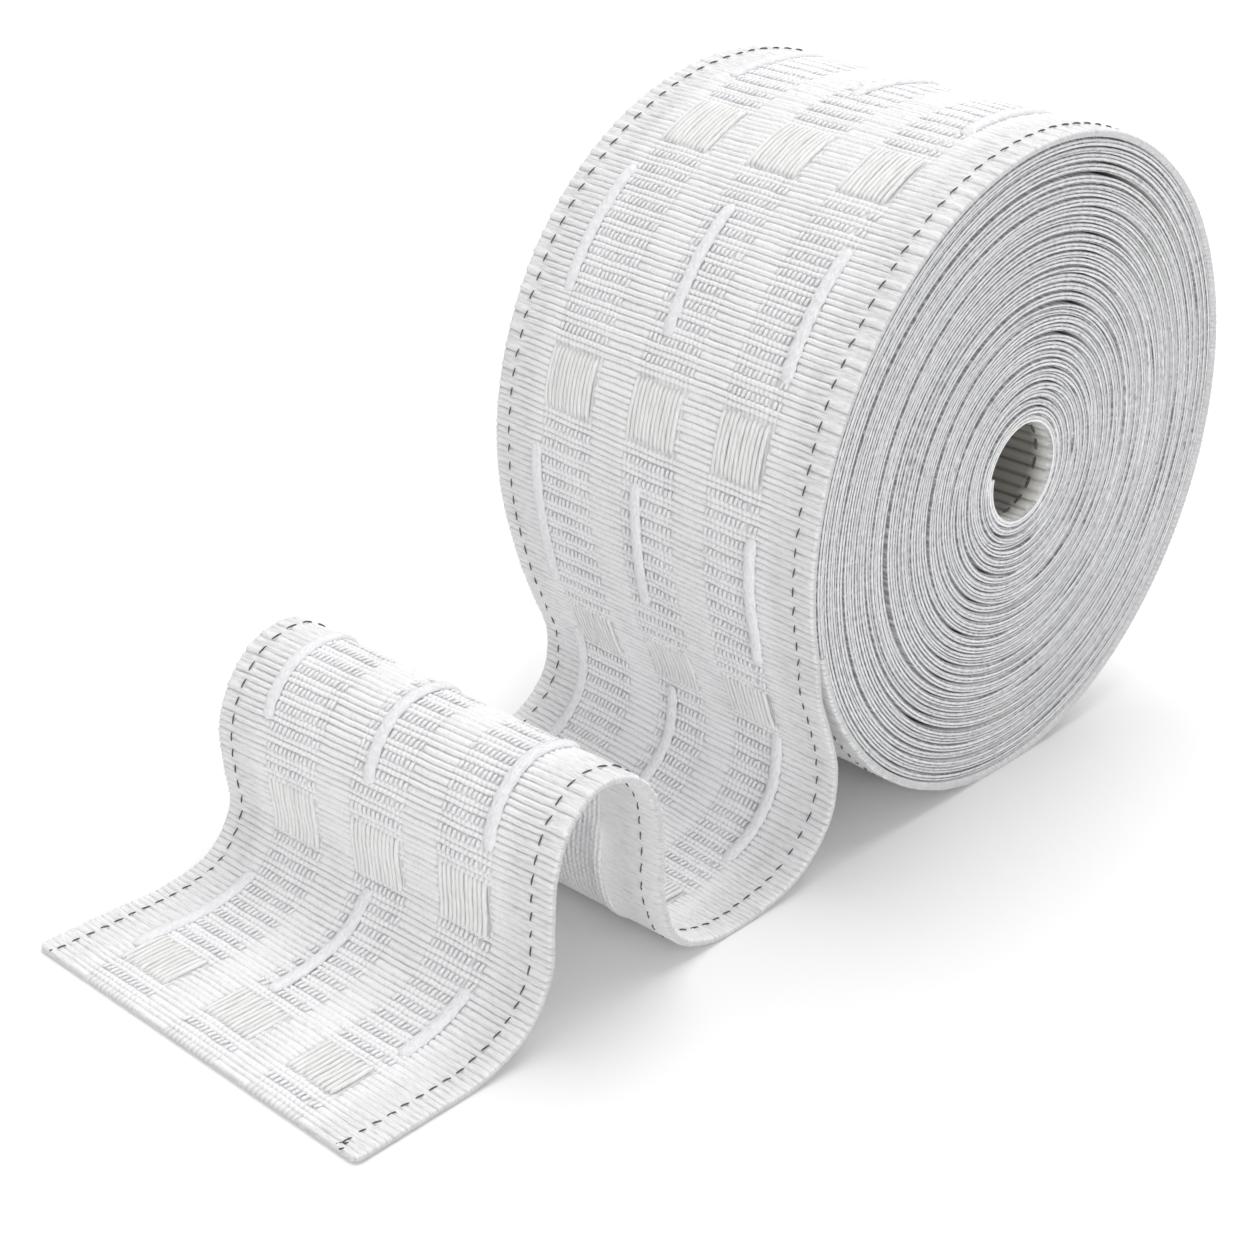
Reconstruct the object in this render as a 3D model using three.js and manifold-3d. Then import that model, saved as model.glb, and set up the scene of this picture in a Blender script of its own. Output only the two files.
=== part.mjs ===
// A roll of white woven curtain heading tape, 75 mm wide, with its loose end laid out in one wave.
// Millimetres, +Z up. The roll's axis runs along X, and the loose end runs out towards -Y.
// The origin is the middle of the underside, on the surface that the tape rests on.
import * as THREE from 'three';
import { mergeVertices } from 'three/addons/utils/BufferGeometryUtils.js';
import Module from 'manifold-3d';

const RADIANS = Math.PI / 180;
const TURN = 2 * Math.PI;

// The tape
const TAPE_WIDTH = 75;
const TAPE_THICKNESS = 1.2;

// The roll is wound a little fuller on its left end. Each radius is at the leaving angle,
// where the loose end begins; from there the outside drops by one turn's pitch.
const ROLL_ENDS = {
  left:  { y: 135.2, z: 59.36, radius: 60.9 },
  right: { y: 132.0, z: 58.06, radius: 59.6 },
};
const TURN_PITCH = 1.5;
const LEAVING_ANGLE = 195 * RADIANS;      // from +Y towards +Z
const ROLL_STEPS = 72;
const SEAM_GAP = 0.3;                     // between the roll and the loose end

// The core hole, with a small step where the innermost turn ends
const CORE = { y: 128.8, z: 59.4, radius: 8.9 };
const INNER_END_ANGLE = 172 * RADIANS;
const CORE_STEPS = 32;
const CORE_OVERRUN = 5;                   // how far the cut runs past each end

// The loose end's top face from its cut end to the roll: [y, z] of both edges at each fold
const FOLDS = [
  { name: 'cut end',      left: [-25.7, 1.2], right: [-21.1, 1.2] },
  { name: 'flat',         left: [-13.2, 1.2], right: [-8.6, 1.2] },
  { name: 'flat ends',    left: [-1.4, 1.25], right: [3.0, 1.6] },
  { name: 'foot',         left: [7.0, 3.6],   right: [11.2, 5.3] },
  { name: 'front low',    left: [12.0, 10.8], right: [15.7, 12.9] },
  { name: 'front middle', left: [11.6, 19.2], right: [16.3, 21.3] },
  { name: 'front high',   left: [11.6, 26.7], right: [17.0, 28.8] },
  { name: 'front brow',   left: [14.8, 34.5], right: [20.2, 36.6] },
  { name: 'crest',        left: [20.2, 39.7], right: [26.2, 40.9] },
  { name: 'crest back',   left: [27.8, 40.9], right: [33.7, 39.3] },
  { name: 'rear brow',    left: [33.8, 35.5], right: [38.6, 33.5] },
  { name: 'rear middle',  left: [36.0, 25.5], right: [40.2, 25.0] },
  { name: 'rear low',     left: [36.4, 15.0], right: [40.6, 14.5] },
  { name: 'trough front', left: [40.2, 5.6],  right: [44.4, 5.4] },
  { name: 'trough floor', left: [49.5, 1.2],  right: [52.9, 1.2] },
  { name: 'floor ends',   left: [65.0, 1.2],  right: [63.1, 1.2] },
  { name: 'trough rear',  left: [77.5, 2.9],  right: [73.0, 3.9] },
  { name: 'heel',         left: [84.6, 9.2],  right: [79.6, 11.0] },
  { name: 'heel rise',    left: [85.8, 17.4], right: [80.8, 19.7] },
  { name: 'hang',         left: [82.4, 26.2], right: [78.4, 28.0] },
  { name: 'hang top',     left: [79.3, 33.9], right: [75.5, 35.6] },
];
const FOLD_SAMPLES = 600;
const LOOSE_STEP = 3;

// The pattern woven into the face, by the tape's length from its cut end: rows of pocket blocks,
// and the draw cords that float over the face between one row and the next
const ROWS = [
  { middle: 11,    length: 8.4,  cords: { left: [10, 34],     centre: [16.8, 40.8],  right: [19.5, 34.5] } },
  { middle: 47.6,  length: 11,   cords: { left: [62.5, 86],   centre: [59.5, 85],    right: [58.2, 84] } },
  { middle: 90.5,  length: 10.5, cords: { left: [104, 125],   centre: [102, 124],    right: [101, 123] } },
  { middle: 133.5, length: 9.8,  cords: { left: [153, 178.5], centre: [150.5, 174.5], right: [148.8, 175.5] } },
  { middle: 180.8, length: 9.8,  cords: { left: [190, 217.8], centre: [194, 218],    right: [192.2, 217] } },
  { middle: 230,   length: 10.6, cords: { left: [244.2, 269], centre: [242.8, 267.5], right: [242.2, 266] } },
  { middle: 281.4, length: 12.2, cords: { left: [296, 321],   centre: [300.5, 325],  right: [297, 322] } },
];
const ROW_PITCH = 51.4;                   // past the rows in the table, which then repeat the last
const BLOCK_COLUMNS = [
  { name: 'left',   from: 12.0, to: 23.4 },
  { name: 'centre', from: 32.2, to: 43.4 },
  { name: 'right',  from: 51.8, to: 62.6 },
];
const CORD_COLUMNS = { left: 11.2, centre: 35.8, right: 62.0 };
const FLOAT_SINK = 0.4;                   // how far a raised float reaches into the tape
const EDGE_HEIGHT = 0.12;
const BLOCK_HEIGHT = 0.6;
const BLOCK_SLOPE = 0.7;
const CORD_WIDTH = 2.2;
const CORD_FLAT = 1.0;                    // the flatter top of a cord's section
const CORD_HEIGHT = 0.85;
const CORD_TAPER = 1.6;
const WOUND_STEP = 5.1;                   // between the sections of a float on the roll
const COVERED_LENGTH = 24;                // of the outer turn's far end, close behind the loose end

const wasm = await Module();
wasm.setup();

// A point of the roll's spiral outside, `turned` past the leaving angle
function rollPoint(across, turned, height = 0) {
  const share = across / TAPE_WIDTH;
  const { left, right } = ROLL_ENDS;
  const blend = (key) => THREE.MathUtils.lerp(left[key], right[key], share);
  const angle = LEAVING_ANGLE - turned;
  const radius = blend('radius') - TURN_PITCH * turned / TURN + height;
  return new THREE.Vector3(
    across,
    blend('y') + radius * Math.cos(angle),
    blend('z') + radius * Math.sin(angle),
  );
}

// Both edges of the loose end are smooth curves through the folds, up to the roll
function edgeCurve(side, across) {
  const points = FOLDS.map((fold) => new THREE.Vector3(across, ...fold[side]));
  points.push(rollPoint(across, 0));
  return new THREE.CatmullRomCurve3(points, false, 'centripetal');
}
const leftEdge = edgeCurve('left', 0);
const rightEdge = edgeCurve('right', TAPE_WIDTH);

function facePoint(across, place) {
  return leftEdge.getPoint(place).lerp(rightEdge.getPoint(place), across / TAPE_WIDTH);
}

// The tape's length along its middle, sampled so that a length can be turned back into a place
const lengths = [0];
for (let i = 1; i <= FOLD_SAMPLES; i++) {
  const last = facePoint(TAPE_WIDTH / 2, (i - 1) / FOLD_SAMPLES);
  lengths.push(lengths[i - 1] + facePoint(TAPE_WIDTH / 2, i / FOLD_SAMPLES).distanceTo(last));
}
const LOOSE_LENGTH = lengths[FOLD_SAMPLES];
const MEAN_RADIUS = (ROLL_ENDS.left.radius + ROLL_ENDS.right.radius) / 2;
const OUTER_TURN_END = LOOSE_LENGTH + TURN * MEAN_RADIUS;

function placeAt(length) {
  let i = 1;
  while (i < FOLD_SAMPLES && lengths[i] < length) i++;
  const share = (length - lengths[i - 1]) / (lengths[i] - lengths[i - 1]);
  return THREE.MathUtils.clamp((i - 1 + share) / FOLD_SAMPLES, 0, 1);
}

// A point of the loose end's face, raised square to the cloth and never below the surface it is on
function loosePoint(across, length, height = 0) {
  const place = placeAt(length);
  const near = 1 / FOLD_SAMPLES;
  const before = facePoint(across, Math.max(0, place - near));
  const along = facePoint(across, Math.min(1, place + near)).sub(before).setX(0).normalize();
  const point = facePoint(across, place);
  const z = Math.max(0, point.z + along.y * height);
  return new THREE.Vector3(across, point.y - along.z * height, z);
}

// The same on the roll's outer turn, for lengths past the loose end
function woundPoint(across, length, height = 0) {
  return rollPoint(across, (length - LOOSE_LENGTH) / MEAN_RADIUS, height);
}

// A closed solid through rings of equally many points, with a cap around the middle of each end
function loft(rings) {
  const count = rings[0].length;
  const middleOf = (ring) => ring.reduce((sum, p) => sum.add(p), new THREE.Vector3()).divideScalar(count);
  const points = [...rings.flat(), middleOf(rings[0]), middleOf(rings.at(-1))];
  const lastRing = (rings.length - 1) * count;
  const startMiddle = rings.length * count;
  const faces = [];
  for (let i = 0; i < count; i++) {
    const next = (i + 1) % count;
    for (let ring = 0; ring < lastRing; ring += count) {
      const [a, b] = [ring + i, ring + next];
      faces.push(a, b + count, b, a, a + count, b + count);
    }
    faces.push(startMiddle, i, next);
    faces.push(startMiddle + 1, lastRing + next, lastRing + i);
  }
  const geometry = new THREE.BufferGeometry().setFromPoints(points);
  geometry.setIndex(faces);
  return toSolid(geometry);
}

function toSolid(geometry) {
  geometry.deleteAttribute('normal');
  geometry.deleteAttribute('uv');
  const merged = mergeVertices(geometry);
  return new wasm.Manifold(new wasm.Mesh({
    numProp: 3,
    vertProperties: new Float32Array(merged.attributes.position.array),
    triVerts: new Uint32Array(merged.index.array),
  }));
}

function toGeometry(solid) {
  const { vertProperties, triVerts } = solid.getMesh();
  const geometry = new THREE.BufferGeometry();
  geometry.setAttribute('position', new THREE.BufferAttribute(vertProperties, 3));
  geometry.setIndex(new THREE.BufferAttribute(triVerts, 1));
  return geometry;
}

function evenSteps(from, to, step) {
  const count = Math.max(1, Math.round((to - from) / step));
  return Array.from({ length: count + 1 }, (_, i) => from + (to - from) * i / count);
}

// One raised float: a flat-topped section of [across, height] pairs that dips under at both ends
function raisedFloat(surface, { from, to, top, height, start, stop, taper, step }) {
  const side = (to - from - top) / 2;
  const section = [
    [from, -FLOAT_SINK],
    [to, -FLOAT_SINK],
    [to, EDGE_HEIGHT],
    [to - side, height],
    [from + side, height],
    [from, EDGE_HEIGHT],
  ];
  const lengthsAlong = [start, ...evenSteps(start + taper, stop - taper, step), stop];
  return loft(lengthsAlong.map((length) => {
    const dips = length === start || length === stop;
    return section.map(([across, lift]) => {
      return surface(across, length, dips ? Math.min(lift, -FLOAT_SINK / 2) : lift);
    });
  }));
}

// Every row of the pattern, with the rows past the table worked out from its last one
function patternRows() {
  const rows = [...ROWS];
  const last = ROWS.at(-1);
  for (let shift = ROW_PITCH; last.middle + shift < OUTER_TURN_END; shift += ROW_PITCH) {
    const moved = Object.entries(last.cords).map(([name, [start, stop]]) => {
      return [name, [start + shift, stop + shift]];
    });
    rows.push({ ...last, middle: last.middle + shift, cords: Object.fromEntries(moved) });
  }
  return rows;
}

// All the floats of one stretch of tape. One that crosses the stretch's end stops just short of it.
function addFloats(body, surface, { from: first, to: last, step }) {
  let solid = body;
  const add = (float) => {
    const start = Math.max(float.start, first + SEAM_GAP * 3);
    const stop = Math.min(float.stop, last - SEAM_GAP * 3);
    if (stop - start < 3 * float.taper) return;
    solid = solid.add(raisedFloat(surface, { ...float, start, stop, step }));
  };
  for (const { middle, length, cords } of patternRows()) {
    for (const { from, to } of BLOCK_COLUMNS) {
      const [start, stop] = [middle - length / 2, middle + length / 2];
      const top = to - from - BLOCK_SLOPE;
      add({ from, to, top, height: BLOCK_HEIGHT, start, stop, taper: BLOCK_SLOPE });
    }
    for (const [name, [start, stop]] of Object.entries(cords)) {
      const from = CORD_COLUMNS[name] - CORD_WIDTH / 2;
      const to = from + CORD_WIDTH;
      add({ from, to, top: CORD_FLAT, height: CORD_HEIGHT, start, stop, taper: CORD_TAPER });
    }
  }
  return solid;
}

// The wound tape: a spiral outline ruled from end to end, with the core hole cut through
function woundBody() {
  const outside = [0, TAPE_WIDTH].map((across) => {
    return Array.from({ length: ROLL_STEPS + 1 }, (_, i) => {
      return rollPoint(across, TURN * i / ROLL_STEPS);
    });
  });
  const hole = [-CORE_OVERRUN, TAPE_WIDTH + CORE_OVERRUN].map((across) => {
    return Array.from({ length: CORE_STEPS + 1 }, (_, i) => {
      const share = 1 - i / CORE_STEPS;
      const angle = INNER_END_ANGLE + TURN * share;
      const radius = CORE.radius + TURN_PITCH * (share - 0.5);
      return new THREE.Vector3(
        across,
        CORE.y + radius * Math.cos(angle),
        CORE.z + radius * Math.sin(angle),
      );
    });
  });
  return loft(outside).subtract(loft(hole));
}

// The roll's own weight presses what lies lowest flat
function pressFlat(solid) {
  const size = 4 * MEAN_RADIUS;
  const room = new THREE.BoxGeometry(size, size, size);
  room.translate(TAPE_WIDTH / 2, ROLL_ENDS.right.y, size / 2);
  return solid.intersect(toSolid(room));
}

// The loose end: one sheet, ruled from its left edge to its right edge
function looseSheet() {
  return loft(evenSteps(0, LOOSE_LENGTH - SEAM_GAP, LOOSE_STEP).map((length) => [
    loosePoint(0, length, -TAPE_THICKNESS),
    loosePoint(TAPE_WIDTH, length, -TAPE_THICKNESS),
    loosePoint(TAPE_WIDTH, length),
    loosePoint(0, length),
  ]));
}

function clothMesh(name, solid, color) {
  const material = new THREE.MeshStandardMaterial({ color, roughness: 0.9, metalness: 0 });
  const mesh = new THREE.Mesh(toGeometry(solid), material);
  mesh.name = name;
  return mesh;
}

const wound = addFloats(woundBody(), woundPoint, {
  from: LOOSE_LENGTH,
  to: OUTER_TURN_END - COVERED_LENGTH,
  step: WOUND_STEP,
});
const loose = addFloats(looseSheet(), loosePoint, { from: 0, to: LOOSE_LENGTH, step: LOOSE_STEP });

const tape = new THREE.Group();
tape.add(clothMesh('wound_tape', pressFlat(wound), '#f1f1ef'));
tape.add(clothMesh('loose_end', loose, '#f4f4f2'));

const bounds = new THREE.Box3().setFromObject(tape);
const middle = bounds.getCenter(new THREE.Vector3());
tape.position.set(-middle.x, -middle.y, 0);

export default tape;
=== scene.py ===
# %% [markdown]
# # A roll of curtain heading tape
# Heading tape is sewn behind the top of a curtain. It is woven in one piece: straight ribs from edge
# to edge, three columns of small loops, rows of pocket blocks that curtain hooks go into, and draw
# cords that float over the face and pull the curtain into pleats.
# This lesson makes it as a loom and a winder do. Each detail is first modelled flat, in millimetres
# of tape, and one function then lays the flat tape along its real path: out over the table in a
# wave, up onto the roll and round and round to the core.

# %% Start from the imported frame
import math
import bmesh
import bpy
import numpy as np
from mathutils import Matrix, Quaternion, Vector


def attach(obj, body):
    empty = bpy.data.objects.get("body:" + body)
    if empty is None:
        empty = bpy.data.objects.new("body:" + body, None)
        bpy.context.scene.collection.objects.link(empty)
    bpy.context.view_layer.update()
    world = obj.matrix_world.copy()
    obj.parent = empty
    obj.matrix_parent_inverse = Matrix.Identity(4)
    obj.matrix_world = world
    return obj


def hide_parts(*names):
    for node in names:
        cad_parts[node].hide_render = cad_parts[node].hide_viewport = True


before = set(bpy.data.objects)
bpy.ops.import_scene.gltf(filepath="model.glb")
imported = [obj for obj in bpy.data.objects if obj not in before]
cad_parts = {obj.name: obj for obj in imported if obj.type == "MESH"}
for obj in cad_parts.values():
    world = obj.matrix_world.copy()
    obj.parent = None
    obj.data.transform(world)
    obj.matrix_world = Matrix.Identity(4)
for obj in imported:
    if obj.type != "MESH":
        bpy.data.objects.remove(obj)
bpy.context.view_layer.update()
print("the frame holds", sorted(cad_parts))

# %% [markdown]
# ## The camera
# The camera comes first, so that every later step can be judged from the right place. It is given by
# its place and the way it looks, because those are what a photographer chooses. A fairly long lens
# keeps the tape's edges nearly parallel, and a small tilt levels the picture. The values come from
# fitting the tape's edges and the rim of the roll to the picture.

# %% The camera
MM = 0.001
AZIMUTH, ELEVATION = math.radians(44.66), math.radians(26.90)      # from the tape up to the camera
TILT = math.radians(0.3075)
STAND = Vector((213.26, -230.96, 191.43)) * MM                     # the camera's place
camera = bpy.data.objects.new("camera", bpy.data.cameras.new("camera"))
camera.data.sensor_width = 36
camera.data.lens = 57.48
camera.data.clip_start = 0.01
camera.data.clip_end = 20
backwards = Vector((
    math.sin(AZIMUTH) * math.cos(ELEVATION),
    -math.cos(AZIMUTH) * math.cos(ELEVATION),
    math.sin(ELEVATION),
))
camera.location = STAND
camera.rotation_mode = "QUATERNION"
camera.rotation_quaternion = backwards.to_track_quat("Z", "Y") @ Quaternion((0, 0, 1), TILT)
bpy.context.scene.collection.objects.link(camera)
bpy.context.scene.camera = camera
bpy.context.scene.view_settings.view_transform = "Standard"
print("the camera stands", round(STAND.length, 3), "m from the tape's middle")

# %% [markdown]
# ## The path of the tape
# A tape bends one way only, so its path is a curve that is the same from edge to edge, apart from a
# slight lean. The curve runs smoothly through a few named folds, as a spline does through its control
# points. Both edges have their own curve, and every point between them lies on a straight line.
# The numbers are those of the solid, so the two agree.

# %% The folds of the loose end, and the ends of the roll
WIDTH = 75.0
THICKNESS = 1.2
MIDDLE = (37.5, 84.871)                # from the tape's left edge and zero to the frame's middle
FOLDS = {                              # (y, z) of the face at the left edge, and at the right edge
    "cut end": ((-25.7, 1.2), (-21.1, 1.2)),
    "flat": ((-13.2, 1.2), (-8.6, 1.2)),
    "flat ends": ((-1.4, 1.25), (3.0, 1.6)),
    "foot": ((7.0, 3.6), (11.2, 5.3)),
    "front low": ((12.0, 10.8), (15.7, 12.9)),
    "front middle": ((11.6, 19.2), (16.3, 21.3)),
    "front high": ((11.6, 26.7), (17.0, 28.8)),
    "front brow": ((14.8, 34.5), (20.2, 36.6)),
    "crest": ((20.2, 39.7), (26.2, 40.9)),
    "crest back": ((27.8, 40.9), (33.7, 39.3)),
    "rear brow": ((33.8, 35.5), (38.6, 33.5)),
    "rear middle": ((36.0, 25.5), (40.2, 25.0)),
    "rear low": ((36.4, 15.0), (40.6, 14.5)),
    "trough front": ((40.2, 5.6), (44.4, 5.4)),
    "trough floor": ((49.5, 1.2), (52.9, 1.2)),
    "floor ends": ((65.0, 1.2), (63.1, 1.2)),
    "trough rear": ((77.5, 2.9), (73.0, 3.9)),
    "heel": ((84.6, 9.2), (79.6, 11.0)),
    "heel rise": ((85.8, 17.4), (80.8, 19.7)),
    "hang": ((82.4, 26.2), (78.4, 28.0)),
    "hang top": ((79.3, 33.9), (75.5, 35.6)),
}
ROLL_LEFT = np.array((135.2, 59.36, 60.9))     # y, z and radius where the loose end leaves the roll
ROLL_RIGHT = np.array((132.0, 58.06, 59.6))
LEAVING_ANGLE = math.radians(195)
TURN = 2 * math.pi
PITCH = 1.5                            # the outer turn's
CORE = (128.8, 59.4)
CORE_FACE = 9.35                       # radius of the innermost turn's face at its end
TURNS = 35 + (195 - 172) / 360         # down to the end of the tape, which lies at 172 degrees


def smooth_curve(points, places):
    """A centripetal Catmull-Rom curve, which passes through every point without looping."""
    points = np.array(points, float)
    before, after = 2 * points[0] - points[1], 2 * points[-1] - points[-2]
    points = np.vstack([before, points, after])
    along = np.clip(places, 0, 1) * (len(points) - 3)
    first = np.minimum(along.astype(int), len(points) - 4)
    share = (along - first)[:, None]
    p0, p1, p2, p3 = (points[first + k] for k in range(4))
    d0, d1, d2 = (np.linalg.norm(b - a, axis=1)[:, None] ** 0.5 for a, b in ((p0, p1), (p1, p2), (p2, p3)))
    leave = ((p1 - p0) / d0 - (p2 - p0) / (d0 + d1) + (p2 - p1) / d1) * d1
    arrive = ((p2 - p1) / d1 - (p3 - p1) / (d1 + d2) + (p3 - p2) / d2) * d1
    bend = 3 * (p2 - p1) - 2 * leave - arrive
    twist = 2 * (p1 - p2) + leave + arrive
    return p1 + leave * share + bend * share**2 + twist * share**3


def roll_start(ends):
    """Where the loose end meets the roll."""
    y, z, radius = ends
    return (y + radius * math.cos(LEAVING_ANGLE), z + radius * math.sin(LEAVING_ANGLE))


SAMPLES = 3000
places = np.linspace(0, 1, SAMPLES + 1)
left_edge = smooth_curve([left for left, right in FOLDS.values()] + [roll_start(ROLL_LEFT)], places)
right_edge = smooth_curve([right for left, right in FOLDS.values()] + [roll_start(ROLL_RIGHT)], places)
steps = np.linalg.norm(np.diff((left_edge + right_edge) / 2, axis=0), axis=1)
lengths = np.concatenate([[0], np.cumsum(steps)])
LOOSE = lengths[-1]
MEAN_RADIUS = (ROLL_LEFT[2] + ROLL_RIGHT[2]) / 2
OUTER_END = LOOSE + TURN * MEAN_RADIUS
print(f"{LOOSE:.1f} mm of tape lie loose, and one outer turn takes {TURN * MEAN_RADIUS:.0f} mm")

# %% [markdown]
# ## The winding
# On a real roll the turns are never even. Some are slack and leave a dark line, and the hole is a
# little off the middle. The radius here is one steadily falling function of the turns wound, and the
# unevenness only shifts that count by less than half a turn, so two turns can never cross. That is
# safer than adding waves to the radius itself.

# %% From flat tape to its place
def slack(turned):
    """How far the count of turns is shifted, which makes some turns tight and some loose."""
    # waves of unrelated lengths never fall in step, and they fade out at the rim and at the core
    turns = turned / TURN
    fade = np.clip((turns - 1.0) / 3, 0, 1) * np.clip((TURNS - turns) / 3, 0, 1)
    return fade * (
        0.16 * np.sin(turned + 0.9 * turns)
        + 0.12 * np.sin(2 * turned - 1.7 * turns + 1.0)
        + 0.07 * np.sin(3 * turned + 3.1 * turns + 2.0)
        + 0.10 * np.sin(1.3 * turns + 0.5)
    )


def roll_radius(across, turned):
    """The face's radius, and the shift of its centre towards the core."""
    share = np.asarray(across) / WIDTH
    outer = ROLL_LEFT[2] * (1 - share) + ROLL_RIGHT[2] * share
    turns = turned / TURN
    inward = np.clip((turns + slack(turned) - 1) / (TURNS - 1), 0, 1)
    radius = outer - PITCH * np.minimum(turns, 1)
    return radius + (CORE_FACE - (outer - PITCH)) * inward, inward


def wound(across, turned, lift):
    """(y, z) of tape on the roll: `turned` is the angle wound since it left the loose end."""
    share = across / WIDTH
    radius, inward = roll_radius(across, turned)
    angle = LEAVING_ANGLE - turned
    y = (ROLL_LEFT[0] * (1 - share) + ROLL_RIGHT[0] * share) * (1 - inward) + CORE[0] * inward
    z = (ROLL_LEFT[1] * (1 - share) + ROLL_RIGHT[1] * share) * (1 - inward) + CORE[1] * inward
    return y + (radius + lift) * np.cos(angle), z + (radius + lift) * np.sin(angle)


NEIGHBOUR = 5                          # samples either way, which give the tape's direction


def laid(across, length, lift):
    """(y, z) of tape that lies loose, at this length from the cut end."""
    place = np.interp(length, lengths, places * SAMPLES)
    share = across / WIDTH

    def on_face(at):
        left_y, left_z, right_y, right_z = (
            np.interp(at, np.arange(SAMPLES + 1), edge[:, k]) for edge in (left_edge, right_edge) for k in (0, 1)
        )
        return left_y * (1 - share) + right_y * share, left_z * (1 - share) + right_z * share

    y, z = on_face(place)
    y0, z0 = on_face(np.maximum(place - NEIGHBOUR, 0))
    y1, z1 = on_face(np.minimum(place + NEIGHBOUR, SAMPLES))
    run = np.hypot(y1 - y0, z1 - z0)
    return y - (z1 - z0) / run * lift, z + (y1 - y0) / run * lift


def put_in_place(flat):
    """Rows of flat (across, length, lift) in millimetres of tape become places in metres."""
    across, length, lift = flat.T
    loose = laid(across, length, lift)
    rolled = wound(across, np.maximum(length - LOOSE, 0) / MEAN_RADIUS, lift)
    y, z = (np.where(length > LOOSE, r, s) for r, s in zip(rolled, loose))
    return np.stack([across - MIDDLE[0], y - MIDDLE[1], np.maximum(z, 0.0)], axis=1) * MM


corner = put_in_place(np.array([[0.0, 0.0, 0.0], [WIDTH, LOOSE + 100, 0.0]]))
print("the cut corner and a point on the roll, in mm:", (corner / MM).round(1).tolist())

# %% [markdown]
# ## The pattern of the weave
# All details share one rhythm: a group of three ribs, 3.4 mm long. One rib of the group is wide and
# carries a row of small loops in each column, and two are thin. The pocket blocks and the cords sit
# on top of that.

# %% The rhythm, the columns and the rows
RIBS = 3                               # in a group
GROUP = 3.4
RIB_STARTS = (0.0, 0.40, 0.70, 1.0)    # where the wide rib and the two thin ones start in a group
RIB_HEIGHT = 0.56
RIB_ROWS = (0.0, 0.2, 0.5, 0.8)        # rows of vertices in a rib: a narrow valley, a broad round top
LOOPED_FLOOR = 0.14                    # height of a wide rib in a column, where the loops stand on it
BAR_HEIGHT = 0.66                      # of the two prouder ribs beyond each row of blocks
NUB_HEIGHT = 0.56                      # of the selvedge's nubs
SINK = 0.28                            # how far the valleys lie below the middle surface
SELVEDGE = 9.0
NUBBY = ((226.0, 350.0, 24.0, 0.6), (62.0, 98.0, 8.0, 0.55))       # from, to, fade, and how much more
COLUMNS = {"left": (12.0, 24.0), "centre": (32.0, 44.0), "right": (51.4, 63.0)}
BLOCKS = {"left": (12.0, 23.4), "centre": (32.2, 43.4), "right": (51.8, 62.6)}
CORDS = {"left": 11.2, "centre": 35.8, "right": 62.0}
MARKERS = (3.6, 71.3)
ROWS = [                               # middle and length of the blocks, and the spans of three cords
    (11.0, 8.4, (10, 34), (16.8, 40.8), (19.5, 34.5)),
    (47.6, 11.0, (62.5, 86), (59.5, 85), (58.2, 84)),
    (90.5, 10.5, (104, 125), (102, 124), (101, 123)),
    (133.5, 9.8, (153, 178.5), (150.5, 174.5), (148.8, 175.5)),
    (180.8, 9.8, (190, 217.8), (194, 218), (192.2, 217)),
    (230.0, 10.6, (244.2, 269), (242.8, 267.5), (242.2, 266)),
    (281.4, 12.2, (296, 321), (300.5, 325), (297, 322)),
]
ROW_PITCH = 51.4
COVERED = 24                           # of the outer turn's end, hidden behind the loose end
while ROWS[-1][0] + ROW_PITCH < OUTER_END - COVERED:
    middle, length, *spans = ROWS[-1]
    ROWS.append((middle + ROW_PITCH, length, *[(a + ROW_PITCH, b + ROW_PITCH) for a, b in spans]))
print(len(ROWS), "rows of pocket blocks")


def rib_count(woven):
    """Ribs from the cut end to this length. A whole number is a valley."""
    groups = np.floor(np.asarray(woven) / GROUP)
    return RIBS * groups + np.interp(woven / GROUP - groups, RIB_STARTS, range(RIBS + 1))


def length_of(ribs):
    groups = np.floor(ribs / RIBS)
    return GROUP * (groups + np.interp(ribs - RIBS * groups, range(RIBS + 1), RIB_STARTS))


def step_up(value, start, width):
    """0 before start, 1 after it, with a soft step of the given width."""
    share = np.clip((value - start) / width + 0.5, 0, 1)
    return share * share * (3 - 2 * share)


def inside(value, low, high, width=0.3):
    return step_up(value, low, width) * (1 - step_up(value, high, width))


def ridge(phase, sharp=0.75):
    """A row of round ribs with narrow valleys, from 0 to 1."""
    return np.abs(np.sin(np.pi * phase)) ** sharp


def wander(across, woven):
    """Real picks of weft are never quite straight. The cut end is."""
    sway = (
        0.10 * np.sin(0.11 * across + 0.13 * woven)
        + 0.035 * np.sin(0.63 * across - 0.17 * woven + 1.7)
        + 0.02 * np.sin(1.7 * across + 0.71 * woven + 0.6)
    )
    return sway * step_up(woven, 2.0, 4.0)


def chunky(woven):
    """Where the tape bends outwards the selvedge ribs draw together and make thick nubs."""
    return 0.2 + sum(more * inside(woven, low, high, fade) for low, high, fade, more in NUBBY)


def nub(woven):
    """One thick nub and one thin one to a group."""
    turn = 2 * woven / GROUP
    return ridge(turn, 0.6) * np.where(np.floor(turn) % 2 == 0, 1.0, 0.62)


def chance(number):
    """An even spread of shares from 0 to 1 that depends on the rib's number alone."""
    return (np.sin(12.9898 * number + 4.1) * 437.585) % 1


def bar_ribs(end):
    """Two thin ribs beyond each row of blocks stand prouder than the rest."""
    first = round(float(rib_count(end + 1.3)))
    first += first % RIBS == 0
    return first, first + RIBS


def column_share(across):
    return sum(inside(across, low, high) for low, high in COLUMNS.values())


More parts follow.
